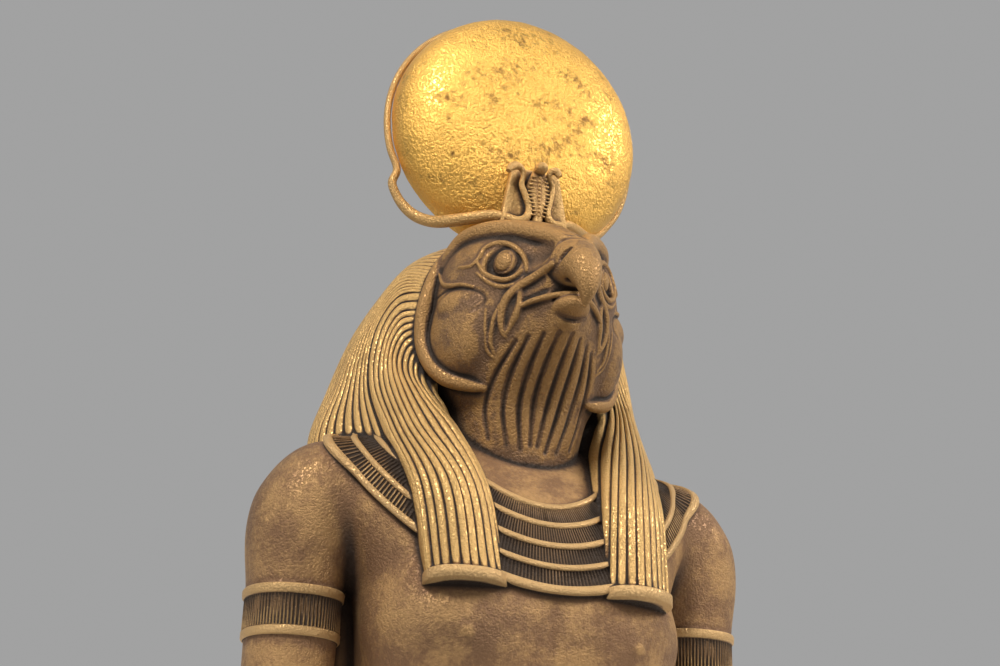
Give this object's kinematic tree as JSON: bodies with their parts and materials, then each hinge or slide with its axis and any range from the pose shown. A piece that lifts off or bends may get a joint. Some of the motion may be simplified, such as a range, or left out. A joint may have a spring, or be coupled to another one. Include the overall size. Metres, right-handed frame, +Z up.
{
  "type": "ra statue",
  "caption": "Bust of a falcon-headed sun god with a striped wig, a broad collar and armbands, a domed sun disc in a serpent ring, and cobras above the brow.",
  "frame": {"origin": "middle of the flat underside, between the two arms", "axes": "+Z up, -Y the way the figure faces, +X to the figure's own left"},
  "size_m": [0.5168, 0.3288, 0.7893],
  "materials": {
    "gilt_bronze": "worn gilding over brown patinated bronze, finely pitted",
    "disc_gold": "bright hammered gilding with darker patches",
    "old_gold": "worn satin gilding"
  },
  "bodies": {
    "root": {"figure": "gilt_bronze", "sun_disc": "disc_gold", "uraeus_ring": "old_gold"}
  },
  "joints": []
}
